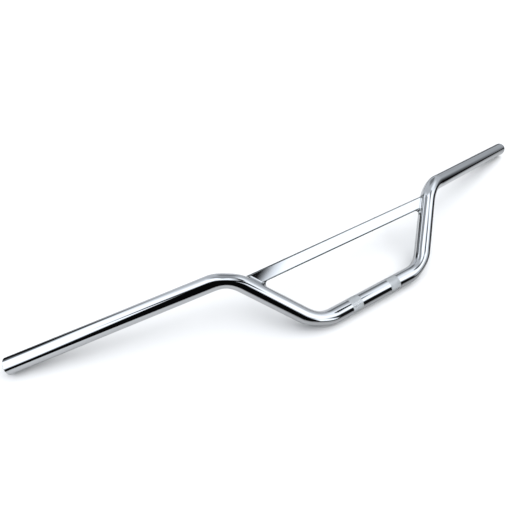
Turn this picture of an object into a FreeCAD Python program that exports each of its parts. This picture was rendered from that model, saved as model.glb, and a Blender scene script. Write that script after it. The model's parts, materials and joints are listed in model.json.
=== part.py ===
import FreeCAD, Part
import math
import os
from FreeCAD import Vector

# Moped handlebar: a bent tube with two knurled clamp bands and a flat brace welded between its risers.
# It is drawn with its risers in the XY plane, then tilted about X to lie on its clamp bands and tips.
# Sizes are in millimetres, angles in degrees.

# Tube
tube_diameter = 22.0
tube_wall = 2.0
end_chamfer = 0.5

# Centre line of the tube, measured between its corners
centre_width = 180.0
riser_angle = 51.0
rise = 104.0
grip_length = 282.0
grip_sweep = 16.0
grip_upsweep = 3.2

# Bends: halfway round, the section is narrower in the plane of the bend and wider across it
bend_radius = 55.0
bend_flattening = 1.4
bend_spread = 0.4
bend_sections = 9

# Diamond knurl of the clamp bands
knurl_spacing = 66.5
knurl_length = 17.0
knurl_pitch = 2.3
knurl_helix = 25.0
knurl_crest = 0.05
knurl_valley = 0.3

# Cross brace and the weld fillets round its ends
brace_width = 16.8
brace_thickness = 4.0
brace_height = 86.6
weld_radius = 5.0

tube_radius = tube_diameter / 2
contact = 1e-4
shortest_edge = 0.02
origin = Vector(0, 0, 0)
along_bar = Vector(1, 0, 0)


def centre_line():
    """Corners of the right half of the centre line: middle, lower corner, upper corner and tip."""
    sweep = math.radians(grip_sweep)
    upsweep = math.radians(grip_upsweep)
    lower = Vector(centre_width / 2, 0, 0)
    upper = lower + Vector(rise / math.tan(math.radians(riser_angle)), rise, 0)
    level = math.cos(upsweep)
    outward = Vector(level * math.cos(sweep), math.sin(upsweep), -level * math.sin(sweep))
    return origin, lower, upper, upper + outward * grip_length


class Bend:
    """The arc that rounds one corner of the centre line."""

    def __init__(self, before, corner, after):
        back = (before - corner).normalize()
        onward = (after - corner).normalize()
        half = back.getAngle(onward) / 2
        reach = bend_radius / math.tan(half)
        self.turn = 180 - 2 * math.degrees(half)
        self.start = corner + back * reach
        self.end = corner + onward * reach
        self.centre = corner + (back + onward).normalize() * (bend_radius / math.sin(half))
        self.first_spoke = (self.start - self.centre).normalize()
        self.axis = onward.cross(back).normalize()

    def section(self, share, inset):
        """The oval section at a share of the turn, set in from the tube's outer surface."""
        spoke = FreeCAD.Rotation(self.axis, self.turn * share).multVec(self.first_spoke)
        swell = math.sin(math.pi * share) ** 2
        across = tube_radius + bend_spread * swell - inset
        within = tube_radius - bend_flattening * swell - inset
        oval = Part.Ellipse(self.centre + spoke * bend_radius, across, within)
        oval.Axis = self.axis.cross(spoke)
        oval.XAxis = self.axis
        return Part.Wire(oval.toShape())

    def solid(self, inset):
        last = bend_sections - 1
        return Part.makeLoft([self.section(k / last, inset) for k in range(bend_sections)], True)


def rod(start, end, inset):
    """A straight stretch of the tube as a solid rod, set in from the tube's outer surface."""
    return Part.makeCylinder(tube_radius - inset, (end - start).Length, start, end - start)


def facet(*corners):
    return Part.Face(Part.makePolygon([*corners, corners[0]]))


def knurled_rod(start):
    """A clamp band: crests and valleys alternate on a lattice, and both end rings lie in the valleys."""
    steps_round = 2 * round(math.pi * tube_diameter / knurl_pitch)
    steps_along = 2 * round(knurl_length * math.tan(math.radians(knurl_helix)) / knurl_pitch)

    def node(i, j):
        crest = (i + j) % 2 == 1 and 0 < i < steps_along
        radius = tube_radius + knurl_crest if crest else tube_radius - knurl_valley
        angle = 2 * math.pi * (j % steps_round) / steps_round
        place = start + along_bar * (knurl_length * i / steps_along)
        return place + Vector(0, radius * math.cos(angle), radius * math.sin(angle))

    faces = [facet(*[node(i, j) for j in range(steps_round)]) for i in (0, steps_along)]
    for i in range(steps_along + 1):
        for j in range(i % 2 + 1, steps_round + i % 2 + 1, 2):
            for beside in {max(i - 1, 0), min(i + 1, steps_along)} - {i}:
                faces.append(facet(node(i, j), node(beside, j), node(i, j + 1)))
                faces.append(facet(node(i, j), node(beside, j), node(i, j - 1)))
    return Part.makeSolid(Part.makeShell(faces))


def joined_halves(pieces):
    """The right half's solids and their mirror images as one solid."""
    mirrored = [piece.mirror(origin, along_bar) for piece in pieces]
    return pieces[0].multiFuse(pieces[1:] + mirrored)


def arm(inset):
    """The right arm: lower bend, riser, upper bend and grip."""
    riser = rod(lower_bend.end, upper_bend.start, inset)
    grip = rod(upper_bend.end, tip, inset)
    return [lower_bend.solid(inset), riser, upper_bend.solid(inset), grip]


def plain_bar(inset):
    """The whole bar as a solid without knurls, set in from the tube's outer surface."""
    return joined_halves([rod(middle, lower_bend.start, inset)] + arm(inset))


def is_open_end(edge):
    """True for the outer edge at either tip."""
    if edge.Curve.TypeId != "Part::GeomCircle" or abs(edge.Curve.Radius - tube_radius) > contact:
        return False
    centre = edge.Curve.Center
    return (Vector(abs(centre.x), centre.y, centre.z) - tip).Length < contact


def make_tube():
    band_start = along_bar * ((knurl_spacing - knurl_length) / 2)
    band_end = band_start + along_bar * knurl_length
    inner = rod(middle, band_start, 0)
    outer = rod(band_end, lower_bend.start, 0)
    bar = joined_halves([inner, knurled_rod(band_start), outer] + arm(0))
    bar = bar.makeChamfer(end_chamfer, [edge for edge in bar.Edges if is_open_end(edge)])
    return bar.cut(plain_bar(tube_wall)).removeSplitter()


def make_brace():
    """A flat strip with round edges, cut at both ends to the outside of the risers and upper bends."""
    half = brace_thickness / 2
    flat = brace_width / 2 - half
    edge_line = Part.makeLine(Vector(0, -flat, half), Vector(0, flat, half))
    back_line = Part.makeLine(Vector(0, flat, -half), Vector(0, -flat, -half))
    upper_edge = Part.Arc(Vector(0, flat, half), Vector(0, flat + half, 0), Vector(0, flat, -half))
    lower_edge = Part.Arc(Vector(0, -flat, -half), Vector(0, -flat - half, 0), Vector(0, -flat, half))
    profile = Part.Wire([edge_line, upper_edge.toShape(), back_line, lower_edge.toShape()])
    reach = centre_width / 2 + brace_height / math.tan(math.radians(riser_angle))
    strip = Part.Face(profile).extrude(along_bar * (2 * reach))
    strip.translate(Vector(-reach, brace_height, 0))
    return strip.cut(plain_bar(0))


def make_right_weld(brace):
    """The ground fillet that runs all the way round the joint of the brace and the right arm."""
    pieces = arm(0)
    side = pieces[0].multiFuse(pieces[1:])
    welded = side.fuse(brace, shortest_edge).removeSplitter()

    def on_joint(edge):
        middle_point = Part.Vertex(edge.valueAt((edge.FirstParameter + edge.LastParameter) / 2))
        shells = (side.Shells[0], brace.Shells[0])
        return all(shell.distToShape(middle_point)[0] < contact for shell in shells)

    filleted = welded.makeFillet(weld_radius, [edge for edge in welded.Edges if on_joint(edge)])
    # The cut can leave the arm's own solid beside the fillet, which is the smaller of the two
    return min(filleted.cut([side, brace]).Solids, key=lambda solid: solid.Volume)


def resting_tilt():
    """The angle about X that brings the rims of the tips level with the foot of the clamp bands."""
    outward = (tip - upper_corner).normalize()
    foot = tube_radius + knurl_crest
    low, high = 0.0, math.pi / 2
    for _ in range(50):
        angle = (low + high) / 2
        height = tip.y * math.sin(angle) + tip.z * math.cos(angle)
        slope = outward.y * math.sin(angle) + outward.z * math.cos(angle)
        rim = tube_radius * math.sqrt(1 - slope ** 2) + end_chamfer * slope
        low, high = (angle, high) if height - rim < -foot else (low, angle)
    return math.degrees(angle)


middle, lower_corner, upper_corner, tip = centre_line()
lower_bend = Bend(middle, lower_corner, upper_corner)
upper_bend = Bend(lower_corner, upper_corner, tip)

tube = make_tube()
brace = make_brace()
right_weld = make_right_weld(brace)
nodes = {
    "handlebar_tube": tube,
    "cross_brace": brace,
    "brace_welds": Part.makeCompound([right_weld.mirror(origin, along_bar), right_weld]),
}

# The bar lies with the middle of its box over the origin and its lowest points at Z = 0
tilt = resting_tilt()
for shape in nodes.values():
    shape.rotate(origin, along_bar, tilt)
box = tube.optimalBoundingBox(False, False)
shift = Vector(0, -box.Center.y, -box.ZMin)

os.makedirs("parts", exist_ok=True)
for name, shape in nodes.items():
    shape.translate(shift)
    shape.exportStep(f"parts/{name}.step")
print(f"tilt {tilt:.3f} degrees, shift {shift.y:.3f} and {shift.z:.3f} mm")
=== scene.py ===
import json
import math
import bmesh
import bpy
import numpy as np
from collections import namedtuple
from mathutils import Matrix, Vector
from mathutils.bvhtree import BVHTree


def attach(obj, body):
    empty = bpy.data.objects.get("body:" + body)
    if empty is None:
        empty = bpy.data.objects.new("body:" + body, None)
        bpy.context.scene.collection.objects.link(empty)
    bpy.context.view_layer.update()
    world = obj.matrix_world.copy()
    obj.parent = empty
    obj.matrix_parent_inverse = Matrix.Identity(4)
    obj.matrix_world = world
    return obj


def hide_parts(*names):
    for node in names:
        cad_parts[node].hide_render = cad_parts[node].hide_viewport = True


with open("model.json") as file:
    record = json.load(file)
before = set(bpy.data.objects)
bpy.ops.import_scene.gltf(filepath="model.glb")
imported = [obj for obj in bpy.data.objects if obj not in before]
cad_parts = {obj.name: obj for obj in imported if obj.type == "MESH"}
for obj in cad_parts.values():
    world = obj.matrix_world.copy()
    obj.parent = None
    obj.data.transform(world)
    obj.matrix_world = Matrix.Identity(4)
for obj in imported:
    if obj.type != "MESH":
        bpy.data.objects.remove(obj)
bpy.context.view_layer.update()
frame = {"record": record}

# Sizes of the bar as drawn, in millimetres and degrees, with its risers in the XY plane
millimetre = 0.001
tube_radius = 11.0
tube_wall = 2.0
end_chamfer = 0.5
centre_width = 180.0
riser_angle = 51.0
rise = 104.0
grip_length = 282.0
grip_sweep = 16.0
grip_upsweep = 3.2
bend_radius = 55.0
bend_flattening = 1.4
bend_spread = 0.4
knurl_spacing = 66.5
knurl_length = 17.0
knurl_start = (knurl_spacing - knurl_length) / 2
knurl_crest = 0.05
knurl_valley = 0.12
brace_width = 16.8
brace_thickness = 4.0
brace_height = 86.6
weld_radius = 5.0

# Fineness of the meshes
points_round = 120
knurl_steps = 16
outer_bend_steps = 48
bore_bend_steps = 16
edge_steps = 16
flat_steps = 20
weld_steps = 32
crease_angle = math.radians(25)

# Search for the place where the ball that shapes a weld touches both the brace and the tube
ball_reach = 8 * weld_radius
ball_halvings = 40


class Bend:
    """The arc that rounds one corner of the centre line."""

    def __init__(self, before, corner, after):
        back = (before - corner).normalized()
        onward = (after - corner).normalized()
        half = back.angle(onward) / 2
        reach = bend_radius / math.tan(half)
        self.turn = math.pi - 2 * half
        self.start = corner + back * reach
        self.end = corner + onward * reach
        self.centre = corner + (back + onward).normalized() * (bend_radius / math.sin(half))
        self.axis = onward.cross(back).normalized()


def centre_line():
    """Corners of the right half of the centre line: middle, lower corner, upper corner and tip."""
    sweep = math.radians(grip_sweep)
    upsweep = math.radians(grip_upsweep)
    lower = Vector((centre_width / 2, 0, 0))
    upper = lower + Vector((rise / math.tan(math.radians(riser_angle)), rise, 0))
    level = math.cos(upsweep)
    outward = Vector((level * math.cos(sweep), math.sin(upsweep), -level * math.sin(sweep)))
    return Vector(), lower, upper, upper + outward * grip_length


middle, lower_corner, upper_corner, tip = centre_line()
lower_bend = Bend(middle, lower_corner, upper_corner)
upper_bend = Bend(lower_corner, upper_corner, tip)


def placement():
    """Takes the drawing to where the bar lies in the frame, which its mounts tell."""
    places = {mount["name"]: Vector(mount["pos_m"]) for mount in frame["record"]["mounts"]}
    clamp = places["clamp_section"]
    lying = places["right_grip"] - clamp
    drawn = (upper_bend.end + tip) / 2
    tilt = math.atan2(lying.z, lying.y) - math.atan2(drawn.z, drawn.y)
    return Matrix.Translation(clamp) @ Matrix.Rotation(tilt, 4, "X") @ Matrix.Scale(millimetre, 4)


# Rings of the tube

round_angles = np.arange(points_round) * 2 * math.pi / points_round
spokes_at_middle = np.stack([0 * round_angles, np.cos(round_angles), np.sin(round_angles)], 1)


def ring(centre, spokes, radius):
    return np.array(centre) + spokes * np.reshape(radius, (-1, 1))


def bend_rings(bend, spokes, inset, steps):
    """Rings round a bend, flattened in its plane towards its middle, and the spokes where it ends."""
    rings = []
    axis = np.array(bend.axis)
    for k in range(steps + 1):
        share = k / steps
        turn = Matrix.Rotation(bend.turn * share, 3, bend.axis)
        turned = spokes @ np.array(turn).T
        spoke = turn @ (bend.start - bend.centre).normalized()
        swell = math.sin(math.pi * share) ** 2
        across = tube_radius + bend_spread * swell - inset
        within = tube_radius - bend_flattening * swell - inset
        sideways = np.outer(turned @ axis, axis) * across
        inward = np.outer(turned @ np.array(spoke), np.array(spoke)) * within
        rings.append(np.array(bend.centre + spoke * bend_radius) + sideways + inward)
    return rings, turned


def arm_rings(spokes, inset, steps):
    """Rings of the right arm, from its lower bend to its upper bend, and the spokes of its grip."""
    lower, spokes = bend_rings(lower_bend, spokes, inset, steps)
    upper, spokes = bend_rings(upper_bend, spokes, inset, steps)
    return lower + upper, spokes


def knurl_rings():
    """The right clamp band: crests and valleys alternate from point to point."""
    rings = []
    for i in range(knurl_steps + 1):
        crest = (np.arange(points_round) + i) % 2 == 1
        if i in (0, knurl_steps):
            crest[:] = False
        radius = np.where(crest, tube_radius + knurl_crest, tube_radius - knurl_valley)
        centre = (knurl_start + knurl_length * i / knurl_steps, 0, 0)
        rings.append(ring(centre, spokes_at_middle, radius))
    return rings


def outer_half():
    """Rings of the outside from the middle to the right tip, each with its number in the knurl or None."""
    knurl_end = knurl_start + knurl_length
    plain = [ring((x, 0, 0), spokes_at_middle, tube_radius) for x in (0, knurl_start, knurl_end)]
    arm, spokes = arm_rings(spokes_at_middle, 0, outer_bend_steps)
    outward = (tip - upper_corner).normalized()
    rim = ring(tip - outward * end_chamfer, spokes, tube_radius)
    face = ring(tip, spokes, tube_radius - end_chamfer)
    before = [(points, None) for points in plain[:2]]
    knurl = [(points, i) for i, points in enumerate(knurl_rings())]
    after = [(points, None) for points in plain[2:] + arm + [rim, face]]
    return before + knurl + after


def bore_half():
    """Rings of the bore from the middle to the right tip."""
    bore_radius = tube_radius - tube_wall
    arm, spokes = arm_rings(spokes_at_middle, tube_wall, bore_bend_steps)
    return [ring(middle, spokes_at_middle, bore_radius)] + arm + [ring(tip, spokes, bore_radius)]


def mirrored(points):
    return points * np.array([-1, 1, 1])


def both_halves(right):
    """A right half's rings with their mirror images before them, from the left tip to the right one."""
    left = [(mirrored(points), number) for points, number in reversed(right[1:])]
    return left + right


# Points and faces of the pieces

along_bar = Vector((1, 0, 0))


def knurl_cell(a, b, crest_first):
    """Two facets between a pair of rings, parted along the valley."""
    (a0, a1), (b0, b1) = a, b
    if crest_first:
        return [(a0, a1, b0), (b1, b0, a1)]
    return [(a0, a1, b1), (a0, b1, b0)]


def tube_shape():
    """Points and faces of the whole tube, and which of its faces are knurled."""
    outside = both_halves(outer_half())
    bore = both_halves([(points, None) for points in bore_half()])
    loop = outside + bore[::-1]
    points = np.concatenate([ring_points for ring_points, _ in loop])
    faces, knurled = [], []
    for k, (_, number) in enumerate(loop):
        onward = (k + 1) % len(loop)
        rolled = number is not None and loop[onward][1] is not None
        for j in range(points_round):
            beside = (j + 1) % points_round
            a = (k * points_round + j, k * points_round + beside)
            b = (onward * points_round + j, onward * points_round + beside)
            cell = knurl_cell(a, b, (number + j) % 2 == 1) if rolled else [(a[0], a[1], b[1], b[0])]
            faces += cell
            knurled += [rolled] * len(cell)
    return points, faces, knurled


def brace_outline():
    """Points round the brace's section with the directions in which they face."""
    half = brace_thickness / 2
    flat = brace_width / 2 - half
    points, facings = [], []
    for side in (1, -1):
        for k in range(edge_steps + 1):
            angle = math.pi * k / edge_steps
            facing = Vector((0, math.sin(angle), math.cos(angle))) * side
            points.append(Vector((0, brace_height + side * flat, 0)) + facing * half)
            facings.append(facing)
        for k in range(1, flat_steps):
            across = flat * math.cos(math.pi * k / flat_steps)
            facing = Vector((0, 0, -side))
            points.append(Vector((0, brace_height + side * across, 0)) + facing * half)
            facings.append(facing)
    return points, facings


def on_edge(number):
    """True where the outline goes on from a point round one of the brace's edges."""
    return number % (edge_steps + flat_steps) < edge_steps


def joint_point(point, tube_surface):
    """Where a line along the brace meets the tube."""
    return tube_surface.ray_cast(point, along_bar)[0]


def brace_shape(tube_surface):
    """The strip, ended where each line along it meets the tube, and which of its faces get painted shade:
    its rounded edges, in darker chrome.
    """
    outline, _ = brace_outline()
    right = np.array([tuple(joint_point(point, tube_surface)) for point in outline])
    count = len(outline)
    faces = [tuple(range(count)), tuple(range(2 * count - 1, count - 1, -1))]
    for k in range(count):
        beside = (k + 1) % count
        faces.append((k, beside, count + beside, count + k))
    painted_shade = [False, False] + [on_edge(k) for k in range(count)]
    return np.concatenate([right, mirrored(right)]), faces, painted_shade


def weld_section(point, facing, tube_surface):
    """The fillet beside one point of the brace's outline, as a ball rolled into the corner leaves it."""
    root = joint_point(point, tube_surface)
    near, far = root.x - ball_reach, root.x
    for _ in range(ball_halvings):
        x = (near + far) / 2
        ball = Vector((x, point.y, point.z)) + facing * weld_radius
        touch, _, _, distance = tube_surface.find_nearest(ball)
        near, far = (x, far) if distance > weld_radius else (near, x)
    start = -facing
    end = (touch - ball).normalized()
    turn = start.angle(end)
    arc = []
    for k in range(weld_steps + 1):
        share = k / weld_steps
        blend = start * math.sin((1 - share) * turn) + end * math.sin(share * turn)
        arc.append(ball + blend.normalized() * weld_radius)
    return arc + [root]


def weld_shape(tube_surface):
    """Both fillets, each a loop of sections round an end of the brace, and which of their faces get painted
    shade: those beside the brace's edges.
    """
    outline, facings = brace_outline()
    sections = [weld_section(point, facing, tube_surface) for point, facing in zip(outline, facings)]
    size = len(sections[0])
    right = np.array([tuple(point) for section in sections for point in section])
    points = np.concatenate([right, mirrored(right)])
    faces, painted_shade = [], []
    for first in (0, len(right)):
        for k in range(len(sections)):
            onward = (k + 1) % len(sections)
            for j in range(size):
                beside = (j + 1) % size
                corners = (k * size + j, k * size + beside, onward * size + beside, onward * size + j)
                faces.append(tuple(first + corner for corner in corners))
                painted_shade.append(on_edge(k))
    return points, faces, painted_shade


# Objects of the scene

def new_object(name, data):
    thing = bpy.data.objects.new(name, data)
    bpy.context.scene.collection.objects.link(thing)
    return thing


def square(name, half, material):
    """A level square of one face round the origin."""
    corners = [(x * half, y * half, 0) for x, y in ((-1, -1), (1, -1), (1, 1), (-1, 1))]
    mesh = bpy.data.meshes.new(name)
    mesh.from_pydata(corners, [], [(0, 1, 2, 3)])
    mesh.materials.append(material)
    return new_object(name, mesh)


def chrome_piece(name, node, points, faces, second, materials, faceted=False):
    """A piece in the place of a node. Some of its faces have the second material and may be flat facets."""
    mesh = bpy.data.meshes.new(name)
    mesh.from_pydata([tuple(point) for point in points], [], faces)
    mesh.transform(placement())
    builder = bmesh.new()
    builder.from_mesh(mesh)
    bmesh.ops.recalc_face_normals(builder, faces=builder.faces)
    builder.to_mesh(mesh)
    builder.free()
    for material in materials:
        mesh.materials.append(material)
    mesh.polygons.foreach_set("material_index", [int(is_second) for is_second in second])
    mesh.shade_smooth()
    mesh.set_sharp_from_angle(angle=crease_angle)
    if faceted:
        mesh.polygons.foreach_set("use_smooth", [not is_second for is_second in second])
    piece = new_object(name, mesh)
    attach(piece, "root")
    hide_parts(node)


# Chrome. A noise's scale is its waves to a metre, and most of its values lie in the span.

Noise = namedtuple("Noise", "scale detail stretch")
patches = Noise(40, 3, (1, 1, 1))
polish = Noise(160, 4, (0.3, 1, 1))
ripples = Noise(90, 2, (1, 1, 1))
noise_span = (0.35, 0.65)
ripple_height = 0.0001


def noise_value(tree, noise):
    """A noise that keeps to the object's own place."""
    place = tree.nodes.new("ShaderNodeTexCoord")
    mapping = tree.nodes.new("ShaderNodeMapping")
    mapping.inputs["Scale"].default_value = noise.stretch
    texture = tree.nodes.new("ShaderNodeTexNoise")
    texture.inputs["Scale"].default_value = noise.scale
    texture.inputs["Detail"].default_value = noise.detail
    tree.links.new(place.outputs["Object"], mapping.inputs["Vector"])
    tree.links.new(mapping.outputs["Vector"], texture.inputs["Vector"])
    return texture.outputs["Fac"]


def ramp(tree, value, low, high):
    """A noise's values spread between two numbers."""
    spread = tree.nodes.new("ShaderNodeMapRange")
    names = ("From Min", "From Max", "To Min", "To Max")
    for name, number in zip(names, (*noise_span, low, high)):
        spread.inputs[name].default_value = number
    tree.links.new(value, spread.inputs["Value"])
    return spread.outputs["Result"]


def tint(tree, value, first, second):
    """A noise's values as shades between two colours."""
    colours = tree.nodes.new("ShaderNodeValToRGB")
    colours.color_ramp.elements[0].color = (*first, 1)
    colours.color_ramp.elements[1].color = (*second, 1)
    tree.links.new(value, colours.inputs["Fac"])
    return colours.outputs["Color"]


def chrome(name, colours, roughness, ripple):
    """Chrome plate: a metal with a faint uneven polish."""
    material = bpy.data.materials.new(name)
    material.use_nodes = True
    tree = material.node_tree
    shader = tree.nodes["Principled BSDF"]
    shader.inputs["Metallic"].default_value = 1.0
    tree.links.new(tint(tree, noise_value(tree, patches), *colours), shader.inputs["Base Color"])
    tree.links.new(ramp(tree, noise_value(tree, polish), *roughness), shader.inputs["Roughness"])
    bump = tree.nodes.new("ShaderNodeBump")
    bump.inputs["Strength"].default_value = ripple
    bump.inputs["Distance"].default_value = ripple_height
    tree.links.new(noise_value(tree, ripples), bump.inputs["Height"])
    tree.links.new(bump.outputs["Normal"], shader.inputs["Normal"])
    return material


bright_chrome = chrome(
    "bright_chrome",
    colours=((0.54, 0.55, 0.56), (0.57, 0.58, 0.59)),
    roughness=(0.02, 0.05),
    ripple=0.01,
)
matte_chrome = chrome(
    "matte_chrome",
    colours=((0.53, 0.54, 0.54), (0.63, 0.64, 0.64)),
    roughness=(0.26, 0.38),
    ripple=0.2,
)
# Painted shade: a darker copy of the chrome that stands in for the dark reflections along the brace's edges
# and welds
painted_shade_chrome = chrome(
    "painted_shade_chrome",
    colours=((0.24, 0.25, 0.25), (0.3, 0.31, 0.31)),
    roughness=(0.08, 0.14),
    ripple=0.05,
)

# The bar: matte on the knurls, with painted shade on the brace's edges and the welds beside them, a darker
# chrome in place of the dark reflections there

tube_points, tube_faces, tube_knurled = tube_shape()
tube_surface = BVHTree.FromPolygons([Vector(point) for point in tube_points], tube_faces)
tube_materials = [bright_chrome, matte_chrome]
brace_materials = [bright_chrome, painted_shade_chrome]
chrome_piece("chromed_tube", "handlebar_tube", tube_points, tube_faces, tube_knurled, tube_materials, True)
chrome_piece("chromed_brace", "cross_brace", *brace_shape(tube_surface), brace_materials)
chrome_piece("chromed_welds", "brace_welds", *weld_shape(tube_surface), brace_materials)


# Shader nodes of the studio

class Nodes:
    """Adds nodes to an emptied tree, with numbers or other nodes' outputs as their inputs."""

    def __init__(self, tree):
        self.tree = tree
        tree.nodes.clear()

    def add(self, kind, *inputs, **settings):
        node = self.tree.nodes.new("ShaderNode" + kind)
        for name, value in settings.items():
            setattr(node, name, value)
        for socket, value in zip(node.inputs, inputs):
            if isinstance(value, bpy.types.NodeSocket):
                self.tree.links.new(value, socket)
            elif value is not None:
                socket.default_value = value
        return node

    def math(self, operation, *inputs):
        return self.add("Math", *inputs, operation=operation).outputs[0]

    def rise(self, value, edge):
        """From 0 to 1, smoothly, as a value passes from one end of an edge to the other."""
        return self.add("MapRange", value, *edge, interpolation_type="SMOOTHSTEP").outputs[0]

    def fall(self, value, edge):
        """From 1 to 0 across an edge."""
        return self.math("SUBTRACT", 1.0, self.rise(value, edge))

    def between(self, value, first_edge, last_edge):
        """1 between two edges, and 0 outside them."""
        return self.math("MULTIPLY", self.rise(value, first_edge), self.fall(value, last_edge))


def studio_material(name):
    """A new material with no nodes yet."""
    material = bpy.data.materials.new(name)
    material.use_nodes = True
    return material, Nodes(material.node_tree)


# Floor: white paper. The metal shows only a sheet of it, dimmed, that fades out at its front, both sides
# and two corners. Each edge is where a fade begins and ends, in metres, and the front runs at a slope.

floor_half = 4.0
paper_white = (0.49, 0.49, 0.49, 1)
paper_glow = 0.02
glow_tint = (0.92, 0.97, 1.0, 1)
sheet_in_metal = 0.76
sheet_slope = 0.122
sheet_front = (-0.225, -0.02)
sheet_left = (-0.58, -0.46)
sheet_right = (0.3, 0.75)
left_corner_x = (-0.5, -0.3)
left_corner_y = (0.06, 0.1)
right_corner_x = (0.1, 0.22)
right_corner_y = (-0.1, 0.0)


def floor_material():
    """White paper with the bar's shadow on it. In the metal, it gives way to a dark room off the sheet."""
    material, nodes = studio_material("white_paper")
    rays = nodes.add("LightPath").outputs
    place = nodes.add("SeparateXYZ", nodes.add("NewGeometry").outputs["Position"]).outputs
    x, y = place["X"], place["Y"]
    front = nodes.rise(nodes.math("MULTIPLY_ADD", x, -sheet_slope, y), sheet_front)
    across = nodes.between(x, sheet_left, sheet_right)
    left_corner = nodes.math("MULTIPLY", nodes.rise(y, left_corner_y), nodes.fall(x, left_corner_x))
    right_corner = nodes.math("MULTIPLY", nodes.rise(x, right_corner_x), nodes.fall(y, right_corner_y))
    shown = nodes.math("MULTIPLY", front, across)
    for corner in (left_corner, right_corner):
        shown = nodes.math("MULTIPLY", shown, nodes.math("SUBTRACT", 1.0, corner))
    hidden = nodes.math("MULTIPLY_ADD", shown, -sheet_in_metal, 1.0)
    seen = nodes.math("MAXIMUM", rays["Is Camera Ray"], rays["Is Glossy Ray"])
    glow = nodes.add("Emission", glow_tint, nodes.math("MULTIPLY", seen, paper_glow)).outputs[0]
    paper = nodes.add("AddShader", nodes.add("BsdfDiffuse", paper_white).outputs[0], glow).outputs[0]
    room = nodes.add("Emission", None, 0.0).outputs[0]
    room_share = nodes.math("MULTIPLY", rays["Is Glossy Ray"], hidden)
    nodes.add("OutputMaterial", nodes.add("MixShader", room_share, paper, room).outputs[0])
    return material


floor = square("floor", floor_half, floor_material())


# Studio light: soft panels and dark gaps round the bar, each laid over those before it.
# Azimuth runs from +Y towards +X and height up from the floor, in degrees.
# Each edge is where a panel's change begins and ends.

Panel = namedtuple("Panel", "left right low high light")
leftmost, rightmost = (-182, -181), (181, 182)
lowest, highest = (-92, -91), (91, 92)
wall_light = 0.78
panels = {
    "ceiling light": Panel(leftmost, rightmost, (68, 78), highest, 2.0),
    "left light": Panel((-139, -135), (-34, 6), (16, 28), (80, 90), 2.0),
    "gap over left light": Panel(leftmost, (-115, -90), (54, 58.5), (64, 71), 0.03),
    "dark front": Panel(leftmost, (-137.5, -130), lowest, (58, 72), 0.004),
    "dark low front": Panel(leftmost, (-128, -118), lowest, (12, 24), 0.004),
    "dark back corner": Panel((-60, -40), (-16, 2), lowest, (22, 34), 0.01),
    "shade beside left light": Panel((-42, -36), (-28, -22), lowest, (31, 41), 0.3),
    "dim right wall": Panel((40, 60), (104, 112), lowest, (10, 24), 0.55),
    "shade on back wall": Panel((20, 28), (42, 48), (8, 18), (34, 44), 0.3),
    "right upper light": Panel((42, 70), (124, 130), (30, 50), (61, 62), 1.6),
    "right light": Panel((96, 112), (167, 176), (20, 32), (52.2, 54.8), 2.0),
    "dark right corner": Panel((82, 106), (110, 118), (-50, -30), (12, 26), 0.01),
    "dark front corner": Panel((137, 142), (153, 158), lowest, (27, 39), 0.01),
    "low front light": Panel((154, 160), (178, 181), (-6, 0), (18, 30), 2.0),
    "gap over right light": Panel((123, 131), rightmost, (53.5, 55), (64, 67), 0.01),
    "gap over right upper light": Panel((77, 90), (120, 124), (57.5, 59.5), (66, 69), 0.01),
}
shade_tint = (0.92, 0.97, 1.04, 1)


def add_studio_light():
    """The lens sees plain white round the floor, and the bar reflects the panels."""
    world = bpy.data.worlds.new("studio")
    bpy.context.scene.world = world
    world.use_nodes = True
    nodes = Nodes(world.node_tree)
    direction = nodes.add("SeparateXYZ", nodes.add("TexCoord").outputs["Generated"]).outputs
    azimuth = nodes.math("DEGREES", nodes.math("ARCTAN2", direction["X"], direction["Y"]))
    height = nodes.math("DEGREES", nodes.math("ARCSINE", direction["Z"]))
    light = wall_light
    for panel in panels.values():
        across = nodes.between(azimuth, panel.left, panel.right)
        upwards = nodes.between(height, panel.low, panel.high)
        share = nodes.math("MULTIPLY", across, upwards)
        light = nodes.add("Mix", share, None, light, panel.light).outputs[0]
    room = nodes.add("Background", shade_tint, light).outputs[0]
    white = nodes.add("Background", (1, 1, 1, 1), 1.0).outputs[0]
    camera_ray = nodes.add("LightPath").outputs["Is Camera Ray"]
    nodes.add("OutputWorld", nodes.add("MixShader", camera_ray, room, white).outputs[0])


add_studio_light()


# Grey card over the back of the bar, which shows in the right riser

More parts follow.
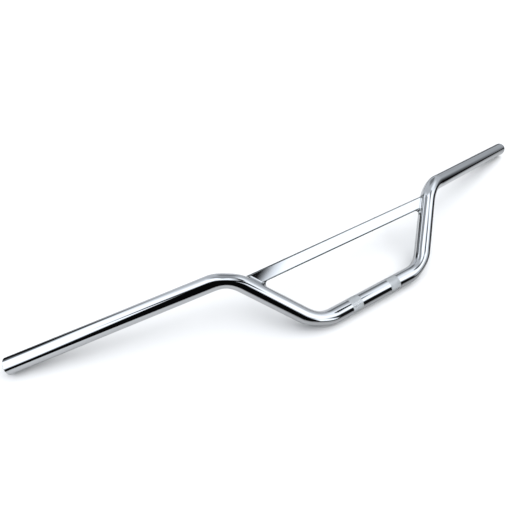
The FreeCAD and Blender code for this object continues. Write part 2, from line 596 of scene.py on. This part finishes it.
card_middle = Vector((-0.03, 0.18, 0.48))
card_half = 0.14
card_light = 0.5


def card_material():
    material, nodes = studio_material("grey_card")
    nodes.add("OutputMaterial", nodes.add("Emission", shade_tint, card_light).outputs[0])
    return material


def add_card():
    """A card that faces the bar and is seen in the metal alone."""
    card = square("grey_card", card_half, card_material())
    turn = card_middle.to_track_quat("Z", "X").to_matrix().to_4x4()
    card.matrix_world = Matrix.Translation(card_middle) @ turn
    card.visible_camera = False
    card.visible_diffuse = False
    card.visible_shadow = False


add_card()


# Key light: it casts the bar's shadow on the floor, and the metal doesn't show it

key_azimuth = 95
key_height = 62
key_spread = 100
key_strength = 5.0


def add_key_light():
    lamp = bpy.data.lights.new("key_light", "SUN")
    lamp.energy = key_strength
    lamp.angle = math.radians(key_spread)
    key = new_object("key_light", lamp)
    key.rotation_euler = (math.radians(90 - key_height), 0, math.radians(180 - key_azimuth))
    key.visible_glossy = False


add_key_light()


# Camera: its place in metres, its angles in degrees and its focal length in pixels of the picture

camera_place = Vector((-0.311926, -0.287054, 0.465855))
camera_yaw = 31.324
camera_pitch = 48.038
camera_roll = -0.247
focal_pixels = 417.14
picture_pixels = 520


def add_camera():
    """A lens at the photograph's place, turned by its yaw, pitch and roll."""
    yaw, pitch, roll = (math.radians(angle) for angle in (camera_yaw, camera_pitch, camera_roll))
    ahead = Vector((math.sin(yaw) * math.cos(pitch), math.cos(yaw) * math.cos(pitch), -math.sin(pitch)))
    level = Vector((math.cos(yaw), -math.sin(yaw), 0))
    down = ahead.cross(level)
    right = level * math.cos(roll) + down * math.sin(roll)
    up = level * math.sin(roll) - down * math.cos(roll)
    lens = bpy.data.cameras.new("camera")
    lens.sensor_fit = "HORIZONTAL"
    lens.lens = lens.sensor_width * (focal_pixels / picture_pixels)
    camera = new_object("camera", lens)
    turn = Matrix((right, up, -ahead)).transposed().to_4x4()
    camera.matrix_world = Matrix.Translation(camera_place) @ turn
    bpy.context.scene.camera = camera


add_camera()
bpy.context.scene.view_settings.view_transform = "Standard"
